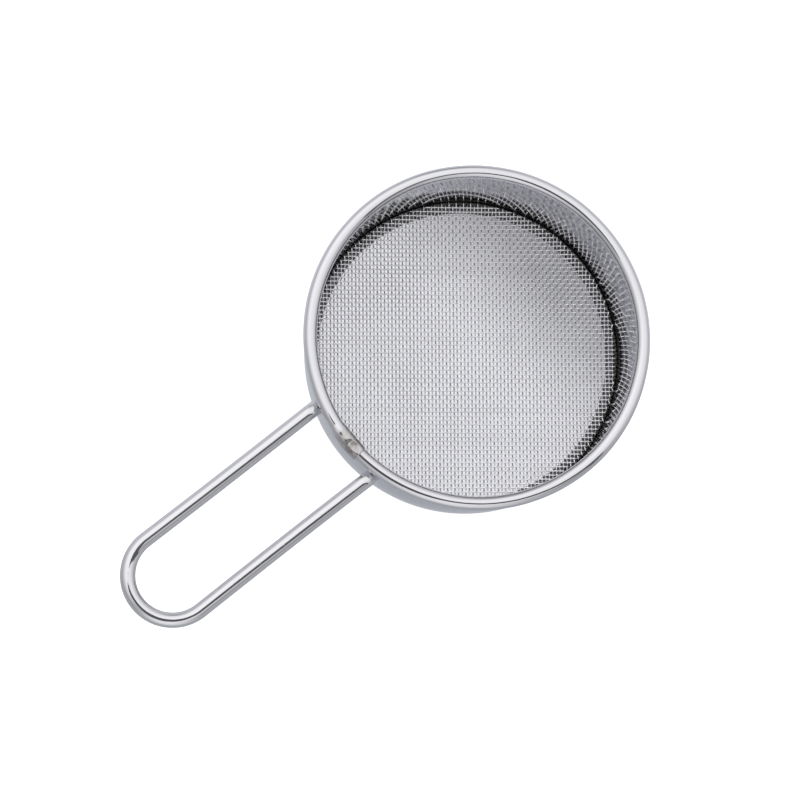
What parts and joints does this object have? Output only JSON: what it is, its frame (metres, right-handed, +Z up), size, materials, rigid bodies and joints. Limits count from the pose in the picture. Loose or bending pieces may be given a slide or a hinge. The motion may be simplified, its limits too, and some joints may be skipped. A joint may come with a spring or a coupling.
{
  "type": "tea strainer",
  "caption": "Shallow stainless drum tea strainer with a rolled rim, a woven wire bottom and a long bent-wire loop handle.",
  "frame": {"origin": "on the drum's axis, in the plane that the drum rests on", "axes": "+Z up through the open mouth of the drum, +X along the handle away from the drum, +Y to the left of the handle seen from above"},
  "size_m": [0.1402, 0.08, 0.0324],
  "materials": {
    "polished_band": "mirror-polished stainless sheet",
    "polished_wire": "bright drawn stainless wire, electropolished",
    "woven_wire": "bright woven stainless wire",
    "weld": "dull pressed weld metal"
  },
  "bodies": {
    "root": {"drum_band": "polished_band", "rim_wire": "polished_wire", "seam_weld": "weld", "support_hoop": "polished_wire", "wire_cloth": "woven_wire", "handle_wire": "polished_wire", "handle_weld_left": "weld", "handle_weld_right": "weld"}
  },
  "joints": []
}
